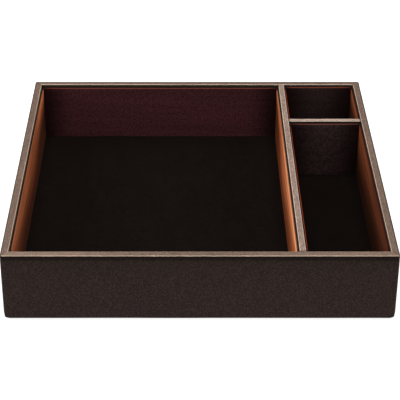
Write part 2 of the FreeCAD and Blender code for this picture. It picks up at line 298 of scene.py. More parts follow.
# pebbled hide: rounded cells, broken up by noise, with fine pores; Mottle is the dye's slow unevenness
# and Fleck the uneven tone from pebble to pebble
def makeHideGrain(pattern):
    tree, given, made = newGroup(
        "hideGrain",
        {"Place": "Vector", "Pebbles": "Float", "Mottle Size": "Float", "Fleck Size": "Float"},
        {"Height": "Float", "Crease": "Float", "Mottle": "Float", "Fleck": "Float"})
    place, pebbles = given.outputs["Place"], given.outputs["Pebbles"]
    warp = addTexture(tree, "Noise", (-700, -200), place, Scale=pattern["warpScale"], Detail=2.0)
    shift = addNode(tree, "ShaderNodeVectorMath", (-520, -200), operation="MULTIPLY_ADD")
    feed(tree, (shift.inputs[0], warp.outputs["Color"]), (shift.inputs[1], 3 * (pattern["warpReach"],)),
         (shift.inputs[2], place))
    warped = shift.outputs[0]
    cells = addTexture(tree, "Voronoi", (-320, 100), warped, Scale=pebbles)
    cells.feature = "DISTANCE_TO_EDGE"
    dome = remap(tree, (-120, 100), cells.outputs["Distance"], (0.0, pattern["domeWidth"]))
    dome.node.interpolation_type = "SMOOTHSTEP"
    pores = addTexture(tree, "Noise", (-320, -120), place, Scale=pattern["poreScale"], Detail=3.0,
                       Roughness=0.65)
    fine = arithmetic(tree, (-120, -120), "MULTIPLY", pores.outputs["Fac"], pattern["poreShare"])
    height = arithmetic(tree, (120, 60), "ADD", dome, fine)
    crease = remap(tree, (120, 260), cells.outputs["Distance"], (0.0, pattern["creaseWidth"]), (1.0, 0.0))
    mottle = addTexture(tree, "Noise", (-320, -360), place, Scale=given.outputs["Mottle Size"], Detail=2.0,
                        Roughness=0.5)
    pebble = addTexture(tree, "Voronoi", (-320, 380), warped, Scale=pebbles)  # the same cells, one tone each
    patch = addTexture(tree, "Noise", (-320, -600), warped, Scale=given.outputs["Fleck Size"], Detail=2.0,
                       Roughness=0.7)
    cellTone = remap(tree, (-120, 380), pebble.outputs["Color"], pattern["cellRange"],
                     (0.0, pattern["cellShare"]))
    patchTone = remap(tree, (-120, -600), patch.outputs["Fac"], pattern["patchRange"],
                      (0.0, pattern["patchShare"]))
    feed(tree, (made.inputs["Height"], height), (made.inputs["Crease"], crease),
         (made.inputs["Mottle"], mottle.outputs["Fac"]),
         (made.inputs["Fleck"], arithmetic(tree, (120, -400), "ADD", cellTone, patchTone)))
    return tree


fibrePattern = {"toneRange": (0.35, 0.75), "speckRange": (0.05, 0.30)}


# matted fibres: noise drawn out along two directions, and loose specks
def makeFibreFlecks(pattern):
    tree, given, made = newGroup(
        "fibreFlecks",
        {"Place": "Vector", "Fineness": "Float", "Stretch": "Float"},
        {"Tone": "Float", "Height": "Float", "Specks": "Float"})
    place, fineness = given.outputs["Place"], given.outputs["Fineness"]
    outputs = []
    for row, axis in enumerate(((1.0, 0.0, 0.0), (0.0, 1.0, 0.0))):
        keep = addNode(tree, "ShaderNodeVectorMath", (-700, 300 - 300 * row), operation="SCALE")
        keep.inputs[0].default_value = axis
        tree.links.new(given.outputs["Stretch"], keep.inputs["Scale"])
        lift = addNode(tree, "ShaderNodeVectorMath", (-540, 300 - 300 * row), operation="ADD")
        lift.inputs[1].default_value = (1.0, 1.0, 1.0)
        tree.links.new(keep.outputs[0], lift.inputs[0])
        drawn = addNode(tree, "ShaderNodeVectorMath", (-380, 300 - 300 * row), operation="DIVIDE")
        feed(tree, (drawn.inputs[0], place), (drawn.inputs[1], lift.outputs[0]))
        noise = addTexture(tree, "Noise", (-200, 300 - 300 * row), drawn.outputs[0], Scale=fineness,
                           Detail=4.0, Roughness=0.7)
        outputs.append(noise.outputs["Fac"])
    matted = arithmetic(tree, (40, 160), "MAXIMUM", outputs[0], outputs[1])
    specks = addTexture(tree, "Voronoi", (-200, -340), place, Scale=fineness)
    tone = remap(tree, (240, 200), matted, pattern["toneRange"])
    scatter = remap(tree, (240, -300), specks.outputs["Distance"], pattern["speckRange"], (1.0, 0.0))
    feed(tree, (made.inputs["Tone"], tone), (made.inputs["Height"], matted),
         (made.inputs["Specks"], scatter))
    return tree


pilePattern = {
    "streakRange": (0.35, 0.68), "streakTone": (0.82, 1.1),
    "tuftScale": 520.0, "tuftRange": (0.35, 0.65), "tuftTone": (0.6, 1.4), "hairScale": 3500.0,
}


# brushed pile: Streak is noise drawn out along the sheet, Tone the lying pile's tufts times its streaks, and
# Height single hairs
def makeBrushedPile(pattern):
    tree, given, made = newGroup(
        "brushedPile",
        {"Flat": "Vector", "Place": "Vector", "Streaks": "Vector"},
        {"Streak": "Float", "Tone": "Float", "Height": "Float"})
    place = given.outputs["Place"]
    drawn = addNode(tree, "ShaderNodeVectorMath", (-700, 200), operation="MULTIPLY")
    feed(tree, (drawn.inputs[0], given.outputs["Flat"]), (drawn.inputs[1], given.outputs["Streaks"]))
    streak = addTexture(tree, "Noise", (-500, 200), drawn.outputs[0], Scale=1.0, Detail=3.0, Roughness=0.55,
                        Distortion=0.3)
    brushed = remap(tree, (-300, 200), streak.outputs["Fac"], pattern["streakRange"])
    tufts = addTexture(tree, "Noise", (-500, -100), place, Scale=pattern["tuftScale"], Detail=2.0,
                       Roughness=0.6)
    tufted = remap(tree, (-300, -100), tufts.outputs["Fac"], pattern["tuftRange"], pattern["tuftTone"])
    streaked = remap(tree, (-100, 100), brushed, (0.0, 1.0), pattern["streakTone"])
    tone = arithmetic(tree, (100, 0), "MULTIPLY", tufted, streaked)
    hairs = addTexture(tree, "Noise", (-500, -400), place, Scale=pattern["hairScale"], Detail=2.0)
    feed(tree, (made.inputs["Streak"], brushed), (made.inputs["Tone"], tone),
         (made.inputs["Height"], hairs.outputs["Fac"]))
    return tree


hideGrain = makeHideGrain(hidePattern)
fibreFlecks = makeFibreFlecks(fibrePattern)
brushedPile = makeBrushedPile(pilePattern)


# leather: dyed hide, darker in its grain's creases; painted shade where it turns down into a bay and
# wherever else the shade mark says; lighter along folds, a painted highlight with some real rubbing
def makeLeather(name, look):
    material, tree, shader = newMaterial(name)
    place = addNode(tree, "ShaderNodeTexCoord", (-1200, 0)).outputs["Object"]
    grain = placeGroup(tree, hideGrain, (-950, 0), Pebbles=look["pebbles"], Mottle_Size=look["mottleSize"],
                       Fleck_Size=look["fleckSize"])
    tree.links.new(place, grain.inputs["Place"])
    mottle = grain.outputs["Mottle"]
    slow = remap(tree, (-800, 250), mottle, look["mottleRange"], (0.0, 1.0 - look["fleckShare"]))
    quick = remap(tree, (-800, 450), grain.outputs["Fleck"], look["fleckRange"], (0.0, look["fleckShare"]))
    tone = arithmetic(tree, (-720, 350), "ADD", slow, quick)
    mottled = mixColours(tree, (-650, 250), tone, look["dark"], look["light"])
    furrow = arithmetic(tree, (-600, 80), "MULTIPLY", grain.outputs["Crease"], look["creaseShare"])
    creased = mixColours(tree, (-450, 250), furrow, mottled, look["crease"])
    patchy = remap(tree, (-800, -550), mottle, look["mottleRange"], (look["leastRubAndHighlight"], 1.0))
    # painted highlight along the folds, with some real rubbing: a lighter colour where the mark says
    rubAndHighlight = arithmetic(tree, (-620, -350), "MULTIPLY", readMark(tree, (-800, -350), "worn"), patchy)
    colour = mixColours(tree, (-350, 250), rubAndHighlight, creased, look["rubAndHighlight"])
    # painted shade: darker towards the shaded colour where the shade mark says
    shade = readMark(tree, (-500, 450), "shade")
    colour = mixColours(tree, (-180, 250), shade, colour, look["shaded"])
    tree.links.new(colour, shader.inputs["Base Color"])
    rough = remap(tree, (-450, -100), mottle, look["mottleRange"], look["roughness"])
    polish = arithmetic(tree, (-450, -350), "MULTIPLY", rubAndHighlight, look["polish"])
    rough = arithmetic(tree, (-280, -80), "SUBTRACT", rough, polish)
    rough = arithmetic(tree, (-120, -80), "ADD", rough, shade)
    tree.links.new(rough, shader.inputs["Roughness"])
    coat = arithmetic(tree, (-280, -650), "MULTIPLY", rubAndHighlight, look["coat"])
    tree.links.new(coat, shader.inputs["Coat Weight"])
    strength = remap(tree, (-450, -550), rubAndHighlight, (0.0, 1.0), (look["bump"], look["bumpRubbed"]))
    addBump(tree, (-250, -200), shader, grain.outputs["Height"], strength, look["grainDepth"])
    setInputs(shader, Specular_IOR_Level=look["specular"], Specular_Tint=look["specularTint"],
              Coat_Roughness=look["coatRoughness"])
    return material


wallLeatherLook = {
    "pebbles": 1400.0, "mottleSize": 14.0, "mottleRange": (0.3, 0.7),
    "fleckSize": 1800.0, "fleckRange": (0.2, 0.8), "fleckShare": 0.88, "creaseShare": 0.5,
    "bump": 1.0, "bumpRubbed": 0.25, "grainDepth": 0.19,
    "specular": 0.75, "specularTint": (1.0, 0.84, 0.64, 1.0), "roughness": (0.34, 0.46),
    "leastRubAndHighlight": 0.7, "polish": 0.18, "coat": 0.8, "coatRoughness": 0.18,
    "dark": (0.0130, 0.0004, 0.0003, 1.0), "light": (0.126, 0.0735, 0.0592, 1.0),
    # the lighter colour along folds is a painted highlight, the shaded one painted shade
    "crease": (0.026, 0.0120, 0.0092, 1.0), "rubAndHighlight": (0.520, 0.365, 0.282, 1.0),
    "shaded": (0.004, 0.003, 0.003, 1.0),
}
# the caps' lighter colour along folds is a painted highlight too
capLeatherLook = dict(
    wallLeatherLook, mottleSize=30.0, grainDepth=0.20, specularTint=(1.0, 0.90, 0.82, 1.0),
    dark=(0.038, 0.012, 0.010, 1.0), light=(0.277, 0.200, 0.168, 1.0),
    crease=(0.060, 0.034, 0.025, 1.0), rubAndHighlight=(0.620, 0.465, 0.380, 1.0))
wallLeather = makeLeather("wallLeather", wallLeatherLook)
capLeather = makeLeather("capLeather", capLeatherLook)

# the copper colours here are a painted sheen, with a brighter painted highlight at the top; the bright lip
# colour is a painted highlight along the top edge
wallVelvetLook = {
    "deep": (0.0100, 0.0052, 0.0048, 1.0), "blush": (0.120, 0.040, 0.047, 1.0),
    "lipHighlight": (0.600, 0.220, 0.115, 1.0),
    "glow": (0.93, 0.350, 0.165, 1.0), "glowDark": (0.38, 0.098, 0.032, 1.0),
    "glowDeep": (0.93, 0.195, 0.066, 1.0), "faintSheenRange": (0.10, 0.55),  # where the painted sheen is faint it is redder
    "crest": (1.0, 0.450, 0.250, 1.0),
    "sheen": 0.015, "sheenRoughness": 0.3, "sheenTint": (1.0, 0.36, 0.15, 1.0),
    "streaks": (8.0, 150.0, 1.0),  # to the metre, along the sheet and across it
    "pileDepth": 0.25, "pileBump": 0.5,
}
# copies of the one velvet whose painted sheen, highlight and face colours are set for the light at each
# place
leftVelvetLook = dict(wallVelvetLook, glow=(0.93, 0.285, 0.120, 1.0), crest=(1.0, 0.330, 0.150, 1.0))
backVelvetLook = dict(wallVelvetLook, lipHighlight=(0.620, 0.100, 0.042, 1.0))
sideBayVelvetLook = dict(
    wallVelvetLook, blush=(0.135, 0.082, 0.085, 1.0), lipHighlight=(0.600, 0.095, 0.040, 1.0),
    glow=(0.93, 0.260, 0.110, 1.0), crest=(1.0, 0.310, 0.140, 1.0))
floorVelvetLook = dict(
    wallVelvetLook, deep=(0.0025, 0.0019, 0.0018, 1.0), blush=(0.0052, 0.0037, 0.0034, 1.0), sheen=0.01,
    streaks=(26.0, 44.0, 1.0))


# velvet: dark where its pile lies down, with a painted copper sheen in long streaks; its marks give how much
# painted sheen and light falls on a place (above 1 a painted highlight at the top), how much of that painted
# sheen shows, how red the lying pile is, and the painted highlight along its top edge
def makeVelvet(name, look):
    material, tree, shader = newMaterial(name)
    flat = addNode(tree, "ShaderNodeUVMap", (-1300, 200), uv_map="flat")
    place = addNode(tree, "ShaderNodeTexCoord", (-1300, -200))
    pile = placeGroup(tree, brushedPile, (-1050, 200), Streaks=look["streaks"])
    tree.links.new(flat.outputs["UV"], pile.inputs["Flat"])
    tree.links.new(place.outputs["Object"], pile.inputs["Place"])
    brushed = pile.outputs["Streak"]
    bloom = readMark(tree, (-740, 750), "bloom")
    tone = arithmetic(tree, (-560, 750), "MULTIPLY", bloom, pile.outputs["Tone"])
    face = mixColours(tree, (-400, 500), tone, look["deep"], look["blush"])
    # painted highlight along the top edge
    face = mixColours(tree, (-250, 450), readMark(tree, (-740, 550), "worn"), face, look["lipHighlight"])
    nap = readMark(tree, (-900, -400), "nap")
    # painted sheen: copper mixed in by how much painted sheen and light the mark gives
    sheenStrength = remap(tree, (-560, -560), nap, look["faintSheenRange"])
    over = arithmetic(tree, (-720, -400), "SUBTRACT", nap, 1.0)
    faintSheen = mixColours(tree, (-500, -100), brushed, look["glowDark"], look["glowDeep"])
    fullSheen = mixColours(tree, (-500, 100), brushed, look["glowDark"], look["glow"])
    copper = mixColours(tree, (-400, 0), sheenStrength, faintSheen, fullSheen)
    copper = mixColours(tree, (-320, 100), over, copper, look["crest"])
    # the painted sheen goes over the face colour
    colour = mixColours(tree, (-120, 250), readMark(tree, (-300, -50), "glow"), face, copper)
    tree.links.new(colour, shader.inputs["Base Color"])
    addBump(tree, (-280, -250), shader, pile.outputs["Height"], look["pileBump"], look["pileDepth"])
    setInputs(shader, Roughness=1.0, Specular_IOR_Level=0.0, Sheen_Weight=look["sheen"],
              Sheen_Roughness=look["sheenRoughness"], Sheen_Tint=look["sheenTint"])
    return material


wallVelvet = makeVelvet("wallVelvet", wallVelvetLook)
leftVelvet = makeVelvet("leftVelvet", leftVelvetLook)
backVelvet = makeVelvet("backVelvet", backVelvetLook)
sideBayVelvet = makeVelvet("sideBayVelvet", sideBayVelvetLook)
floorVelvet = makeVelvet("floorVelvet", floorVelvetLook)


# matted sheet materials: two tones of fibre, a scatter of specks and a bump from the same fibres
def makeMatted(name, look):
    material, tree, shader = newMaterial(name)
    place = addNode(tree, "ShaderNodeTexCoord", (-1100, 0)).outputs["Object"]
    flecks = placeGroup(tree, fibreFlecks, (-850, 0), Fineness=look["fineness"], Stretch=look["stretch"])
    tree.links.new(place, flecks.inputs["Place"])
    tone = mixColours(tree, (-550, 200), flecks.outputs["Tone"], look["dark"], look["light"])
    speckle = arithmetic(tree, (-700, -80), "MULTIPLY", flecks.outputs["Specks"], look["speckShare"])
    tree.links.new(mixColours(tree, (-300, 200), speckle, tone, look["speck"]), shader.inputs["Base Color"])
    addBump(tree, (-300, -200), shader, flecks.outputs["Height"], look["bump"], look["depth"])
    setInputs(shader, Roughness=look["roughness"], Specular_IOR_Level=look["specular"],
              Sheen_Weight=look["sheen"])
    return material


feltLook = {
    "fineness": 700.0, "stretch": 5.0, "bump": 0.9, "depth": 0.3,
    "roughness": 1.0, "specular": 0.1, "sheen": 0.3,
    "dark": (0.020, 0.016, 0.014, 1.0), "light": (0.072, 0.056, 0.048, 1.0),
    "speck": (0.120, 0.095, 0.082, 1.0), "speckShare": 0.2,
}
boardLook = {
    "fineness": 500.0, "stretch": 3.0, "bump": 0.3, "depth": 0.1,
    "roughness": 0.8, "specular": 0.3, "sheen": 0.0,
    "dark": (0.20, 0.115, 0.058, 1.0), "light": (0.33, 0.210, 0.115, 1.0),
    "speck": (0.11, 0.062, 0.032, 1.0), "speckShare": 0.35,
}
cardLook = {
    "fineness": 900.0, "stretch": 4.0, "bump": 0.2, "depth": 0.05,
    "roughness": 0.85, "specular": 0.3, "sheen": 0.0,
    "dark": (0.21, 0.195, 0.170, 1.0), "light": (0.34, 0.320, 0.285, 1.0),
    "speck": (0.10, 0.090, 0.080, 1.0), "speckShare": 0.3,
}
baseFelt = makeMatted("baseFelt", feltLook)
fibreBoard = makeMatted("fibreBoard", boardLook)
greyCard = makeMatted("greyCard", cardLook)

bradLook = {
    "hazeScale": 1500.0, "hazeRange": (0.2, 0.8), "roughness": (0.28, 0.5),
    "dark": (0.42, 0.41, 0.40, 1.0), "light": (0.66, 0.65, 0.63, 1.0),
}


# steel wire: two greys and an uneven polish, both from one fine haze of noise
def makeBradSteel(name, look):
    material, tree, shader = newMaterial(name)
    place = addNode(tree, "ShaderNodeTexCoord", (-900, 0)).outputs["Object"]
    haze = addTexture(tree, "Noise", (-650, 0), place, Scale=look["hazeScale"], Detail=4.0, Roughness=0.7)
    grey = mixColours(tree, (-350, 150), haze.outputs["Fac"], look["dark"], look["light"])
    tree.links.new(grey, shader.inputs["Base Color"])
    rough = remap(tree, (-350, -100), haze.outputs["Fac"], look["hazeRange"], look["roughness"])
    tree.links.new(rough, shader.inputs["Roughness"])
    setInputs(shader, Metallic=1.0)
    return material


bradSteel = makeBradSteel("bradSteel", bradLook)
print("materials made:", len(bpy.data.materials))

# the hidden pieces keep their CAD shape and take a finish by the last word of their name
finishes = {"board": fibreBoard, "card": greyCard, "brads": bradSteel}
for node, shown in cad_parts.items():
    kind = node.split("_")[-1]
    if kind in finishes:
        shown.material_slots[0].material = finishes[kind]
print("boards, cards and brads finished")


rubHighlightFade = (0.5, 0.85)  # from none to all of the rubbing and painted highlight, by the outward direction's upright part


# a painted highlight along a rim's folds, with some real rubbing: most where they lean about 34 degrees; the
# root of twice the outward direction's two parts multiplied, faded out where the fold turns down
def foldRubAndHighlight(outward):
    lean = np.sqrt(np.clip(2.0 * np.abs(outward[:, 0]) * outward[:, 1], 0.0, 1.0))
    return lean * smoothRamp(*rubHighlightFade, outward[:, 1])


endLow, endHigh = nodeSpan("front_leather")
flankLow, flankHigh = nodeSpan("left_leather")
capLow, capHigh = nodeSpan("long_divider_leather")
boardLow = nodeSpan("front_wall_board")[0]
baseLow = nodeSpan("base_board")[0]
underGap = 0.1 * mm  # between the leather turned under a wall and the base

wrapping = {
    "thickness": boardLow[1] - endLow[1],
    "endWall": endHigh[1] - endLow[1],  # front and back
    "flankWall": flankHigh[0] - flankLow[0],  # left and right
    "turnIn": capHigh[2] - capLow[2],
    "endUnderTurn": baseLow[1] - endLow[1] - underGap,
    "flankUnderTurn": baseLow[0] - flankLow[0] - underGap,
    "fold": 0.7 * mm,
    "corner": 1.6 * mm,  # the upright corners, softened by the hide
    "seamDepth": 0.22 * mm,
    "seamWidth": 0.40 * mm,
    "seamReach": 4.0 * mm,  # how far down from the rim a mitre's seam fades out
    "uneven": 0.10 * mm,
    "unevenWave": 70.0 * mm,
    "unevenFrom": (2.0 * mm, 15.0 * mm),  # from none to all of it, measured from a corner
    "cornerPress": 0.9 * mm,  # the foot's corners, pressed round
    "cornerReach": 3.5 * mm,
    "shadeBelowRim": 0.34,  # painted shade: the outside is a little darker below the rim
    "shadeBelowRun": 16.0 * mm,
    "shadowLineBelowRim": 0.62,  # and a painted shadow line close under its fold
    "shadowLineRun": 1.3 * mm,
    "facingOut": (0.5, 0.85),  # from rim to outside, by the outward direction's level part
    "facingUp": (0.3, 0.6),  # from outside to rim, by its upright part
    "turnDown": (-0.52, -0.12),  # heights in fold radii between which the turn into a bay goes dark with painted shade
    "outerRubHighlight": {"front": 1.0, "right": 0.0, "back": 0.0, "left": 0.0},  # a painted highlight, with some rubbing, on the front's outer fold only
    "outerShade": {"front": 0.0, "right": 1.0, "back": 1.0, "left": 0.90},  # painted shade on the others' outer edge
    "outerRun": {"front": 1.0, "right": 1.7, "back": 2.7, "left": 1.4},  # over so many millimetres
    "outerFade": (0.35, 1.0),  # shares of that run between which the dark ends
    # the rim's painted highlight, with some rubbing, towards its first and its last end
    "endRubHighlight": {"front": (0.11, 0.05), "right": (0.0, 0.0), "back": (0.0, 0.05), "left": (0.0, 0.0)},
    "rimStep": 0.6 * mm,
    "arcSteps": 8,
    "nearEnd": (0.0, 0.2, 0.4, 0.6, 0.9, 1.25, 2.0, 4.0, 8.0),
    "step": 5.0 * mm,
    "seed": 11,
}


# plan of a wall's cover: each section line runs parallel to the wall at its own inset, and round the tray's
# upright corners on an arc about the corner's centre, up to the mitre; inside that centre the mitre gains
# slant on the inset, so that it ends in the bay's corner
def mitredPlan(inset, length, corner, slant, nearEnd, step):
    bend = np.maximum(corner - inset, 0.0)[:, None]
    arc = bend * math.pi / 4.0
    begin = corner + slant * np.maximum(inset - corner, 0.0)[:, None]
    near = np.array(nearEnd) * mm
    half = length / 2.0 - begin + arc
    share = np.linspace(0.0, 1.0, math.ceil(length / 2.0 / step))[1:]
    walked = np.concatenate([np.broadcast_to(near, (len(inset), len(near))),
                             near[-1] + share * (half - near[-1])], axis=1)
    turn = math.pi / 4.0 + np.minimum(walked, arc) / np.maximum(bend, tiny)
    onArc = walked < arc
    along = np.where(onArc, corner - bend * np.cos(turn), begin + walked - arc)
    across = np.where(onArc, corner - bend * np.sin(turn), inset[:, None])
    leanAlong = np.where(onArc, -np.cos(turn), 0.0)  # the outside's direction in plan
    leanAcross = np.where(onArc, -np.sin(turn), -1.0)
    return (np.concatenate([along, length - along[:, -2::-1]], axis=1),
            np.concatenate([across, across[:, -2::-1]], axis=1),
            np.concatenate([walked, walked[:, -2::-1]], axis=1),
            np.concatenate([leanAlong, -leanAlong[:, -2::-1]], axis=1),
            np.concatenate([leanAcross, leanAcross[:, -2::-1]], axis=1))


# a wall's leather: the hooked section swept along the wall, sunk a little where two covers meet on the rim
def wrapWall(side, size):
    turn = sides.index(side) * math.pi / 2.0
    alongWay = np.array([math.cos(turn), math.sin(turn), 0.0])
    inward = np.array([-math.sin(turn), math.cos(turn), 0.0])
    low, high = np.array(cadLow), np.array(cadHigh)
    isEnd = side in ("front", "back")
    length = (high - low)[0 if isEnd else 1]
    depth = (high - low)[1 if isEnd else 0]
    wall, nextWall = size["endWall"], size["flankWall"]
    underTurn = size["endUnderTurn"]
    if not isEnd:
        wall, nextWall = nextWall, wall
        underTurn = size["flankUnderTurn"]
    slant = (nextWall - size["corner"]) / (wall - size["corner"])
    start = (low + high) / 2.0 - alongWay * length / 2.0 - inward * depth / 2.0
    start[2] = 0.0
    foot, top = endLow[2], endHigh[2]
    section, outward, walked = foldedSection(
        [(underTurn, foot), (0.0, foot), (0.0, top), (wall, top), (wall, top - size["turnIn"])],
        size["fold"], (size["step"], size["step"], size["rimStep"], size["step"]), size["arcSteps"])
    rim = smoothRamp(top - size["seamReach"], top - size["fold"], section[:, 1])[:, None]
    nearFoot = 1.0 - smoothRamp(foot, foot + size["cornerReach"], section[:, 1])[:, None]
    layers = []
    for sunk, share in ((0.0, 1.0), (size["thickness"], 0.0)):
        line = section - sunk * outward
        along, across, fromEnd, leanAlong, leanAcross = mitredPlan(
            line[:, 0], length, size["corner"], slant, size["nearEnd"], size["step"])
        seam = size["seamDepth"] * np.exp(-(fromEnd / size["seamWidth"]) ** 2) * rim
        settled = smoothRamp(*size["unevenFrom"], fromEnd)
        girth = np.broadcast_to(walked[:, None], along.shape)
        soft = size["uneven"] * settled * unevenness(
            along, girth, size["unevenWave"], size["seed"] + sides.index(side))
        pressed = size["cornerPress"] * (1.0 - smoothRamp(0.0, size["cornerReach"], fromEnd)) * nearFoot
        drawnIn = share * (seam + soft + pressed)
        along = along + drawnIn * outward[:, :1] * leanAlong
        across = across + drawnIn * outward[:, :1] * leanAcross
        height = line[:, 1:] - drawnIn * outward[:, 1:]
        layers.append(start + along[..., None] * alongWay + across[..., None] * inward
                      + height[..., None] * upward)
    inside = section[:, 0] > wall / 2.0
    # painted highlight, with some rubbing, along the folds
    worn = foldRubAndHighlight(outward) * np.where(inside, 1.0, size["outerRubHighlight"][side])
    # painted shade: inside where it turns down, outside below the rim and along some outer edges
    shade = (1.0 - smoothRamp(*size["turnDown"], (section[:, 1] - top) / size["fold"])) * inside
    fromRim = np.maximum(top - size["fold"] - section[:, 1], 0.0)
    below = size["shadeBelowRim"] * np.exp(-fromRim / size["shadeBelowRun"])
    below = below + size["shadowLineBelowRim"] * np.exp(-fromRim / size["shadowLineRun"])
    shade = shade + below * smoothRamp(*size["facingOut"], -outward[:, 0])
    onRim = smoothRamp(*size["facingUp"], outward[:, 1])
    fromOutside = section[:, 0] / (size["outerRun"][side] * mm)
    shade = shade + size["outerShade"][side] * onRim * (1.0 - smoothRamp(*size["outerFade"], fromOutside))
    # painted highlight towards the rim's ends
    firstEnd, lastEnd = size["endRubHighlight"][side]
    runShare = along / length
    towardsEnds = firstEnd * (1.0 - smoothRamp(0.0, 0.5, runShare))
    towardsEnds = towardsEnds + lastEnd * smoothRamp(0.5, 1.0, runShare)
    worn = np.minimum(worn[:, None] + onRim[:, None] * towardsEnds, 1.0)
    flat = np.stack([along, girth], axis=-1)
    marks = {"worn": worn, "shade": shade[:, None]}
    piece = sheetPiece(side + "_wall_cover", *layers, flat, marks, wallLeather)
    settle(piece, side + "_leather")


for side in sides:
    wrapWall(side, wrapping)
print("wall covers wrapped")

cap = {
    "fold": 0.7 * mm, "endRound": 0.35 * mm, "uneven": 0.06 * mm, "unevenWave": 45.0 * mm,
    "endShade": 0.6, "endReach": 2.2 * mm,  # painted shade where it butts against its neighbour
    # painted highlight, with some rubbing, of the left or front fold, and of the top towards its other side
    "lowRubHighlight": {"long_divider_leather": 1.0, "cross_divider_leather": 0.80},
    "topRubHighlight": {"long_divider_leather": 0.0, "cross_divider_leather": 0.34},
    "topFrom": (0.35, 0.95),  # shares of the cap's width between which that grows
    "facingUp": (0.6, 0.9),
    "nearEnd": (0.0, 0.1, 0.2, 0.35, 0.7, 1.1, 1.6, 2.2, 4.0), "step": 4.0 * mm, "arcSteps": 8, "seed": 31,
}


# a divider's cap: a U section carried straight along the divider, its cut ends drawn back a little
def capDivider(node, size):
    low, high = nodeSpan(node)
    longWay = 0 if (high - low)[0] > (high - low)[1] else 1
    alongWay = np.eye(3)[longWay]
    acrossWay = np.eye(3)[1 - longWay]
    width = (high - low)[1 - longWay]
    length = (high - low)[longWay]
    top, foot = high[2], low[2]
    section, outward, walked = foldedSection([(0.0, foot), (0.0, top), (width, top), (width, foot)],
                                             size["fold"], 3 * (size["step"],), size["arcSteps"])
    places = runPlaces(length, size["nearEnd"], size["step"])
    fromEnd = np.minimum(places, length - places)
    run, girth = np.broadcast_arrays(places[None], walked[:, None])
    drawnIn = softEnd(fromEnd, size["endRound"])[None] + size["uneven"] * unevenness(
        run, girth, size["unevenWave"], size["seed"] + longWay)
    layers = straightSweep(low * (alongWay + acrossWay), places, alongWay, acrossWay, section, outward,
                           drawnIn, wrapping["thickness"])
    clear = smoothRamp(0.0, size["endReach"], fromEnd)[None]
    # painted highlight, with some rubbing, along the folds and across the top
    worn = foldRubAndHighlight(outward) * np.where(outward[:, 0] < 0.0, size["lowRubHighlight"][node], 1.0)
    onTop = smoothRamp(*size["facingUp"], outward[:, 1])
    onTop = onTop * smoothRamp(*size["topFrom"], section[:, 0] / width)
    worn = np.maximum(worn, size["topRubHighlight"][node] * onTop)
    worn = worn[:, None] * clear
    # painted shade where it turns down and at its ends
    shade = 1.0 - smoothRamp(*wrapping["turnDown"], (section[:, 1:] - top) / size["fold"])
    shade = np.maximum(shade, size["endShade"] * (1.0 - clear))
    flat = np.stack([run, girth], axis=-1)
    marks = {"worn": worn, "shade": shade}
    piece = sheetPiece(node.replace("_leather", "_cover"), *layers, flat, marks, capLeather)
    settle(piece, node)


for node in ("long_divider_leather", "cross_divider_leather"):
    capDivider(node, cap)
print("divider caps folded")

lining = {
    "thickness": 0.5 * mm, "fold": 0.7 * mm, "turnBehind": 10.0 * mm, "endRound": 0.6 * mm, "endShare": 0.5,
    "uneven": 0.12 * mm, "unevenWave": 55.0 * mm, "unevenFrom": 8.0 * mm,  # above the floor
    "facingBack": 0.5,  # the outward direction's level part, where the velvet has turned behind the card
    "nearEnd": (0.0, 0.1, 0.25, 0.45, 0.8, 2.0, 5.0), "step": 5.0 * mm, "arcSteps": 6, "seed": 51,
    "sheenRun": 130.0 * mm,  # from the back wall to where the painted sheen reaches deepest; nearer the back wall it is shallower, as the wall's painted shadow
    "crestRun": 6.0 * mm,
    "foldFade": 0.2,  # the copper ends where the fold leans back this much
    "bloom": {"main_bay": 0.74, "long_bay": 0.50, "small_bay": 0.30},
    "bloomRun": 32.0 * mm, "cornerBloom": 0.15, "crestDim": 0.25,  # less red in the corners, a painted shade, and less red at the top
    "lipRun": 9.0 * mm, "lipFade": (0.7, 1.3),
}
# the painted sheen and light on each lining, the back's value before the front's: how full it is and how
# deep it reaches, what is left of it at the foot, how sharply it ends, what its painted highlight at the top
# adds or takes, and how much of it shows copper
sheenPainting = {
    "main_bay_left": {
        "full": (0.77, 0.80), "reach": (11.8, 23.0), "foot": 0.050, "power": 2.0, "crest": (0.33, 0.08),
        "sheenShare": (0.588, 0.357)},
    "main_bay_right": {
        "full": (0.46, 0.82), "reach": (6.0, 26.5), "foot": 0.165, "power": 2.0, "crest": (0.16, 0.88),
        "sheenShare": (1.0, 0.87)},
    "long_bay_right": {
        "full": (0.70, 0.47), "reach": (25.5, 24.5), "foot": 0.06, "power": 2.5, "crest": (0.34, -0.12),
        "sheenShare": (0.36, 0.204)},
    "small_bay_right": {
        "full": (0.78, 0.78), "reach": (9.0, 9.0), "foot": 0.055, "power": 2.0, "crest": (-0.23, -0.23),
        "sheenShare": (0.40, 0.40)},
    "other": {
        "full": (0.60, 0.60), "reach": (14.0, 18.0), "foot": 0.03, "power": 2.5, "crest": (0.0, 0.0),
        "sheenShare": (0.36, 0.36)},
}
# the painted highlight along a lining's top: how strong, how wide from the bay's side, and how far over the
# fold
lipHighlights = {
    "main_bay_left": {"share": 0.24, "width": 0.65, "fold": 0.25},
    "main_bay_right": {"share": 0.34, "width": 0.65, "fold": 0.45},
    "main_bay_back": {"share": 0.15, "width": 1.5, "fold": 0.80},
    "long_bay_left": {"share": 0.30, "width": 0.55, "fold": 0.35},
    "long_bay_right": {"share": 0.06, "width": 0.8, "fold": 0.45},
    "small_bay_left": {"share": 0.30, "width": 0.55, "fold": 0.35},
    "small_bay_right": {"share": 0.05, "width": 0.8, "fold": 0.45},
    "small_bay_back": {"share": 0.20, "width": 1.5, "fold": 0.80},
    "other": {"share": 0.14, "width": 1.5, "fold": 0.80},
}


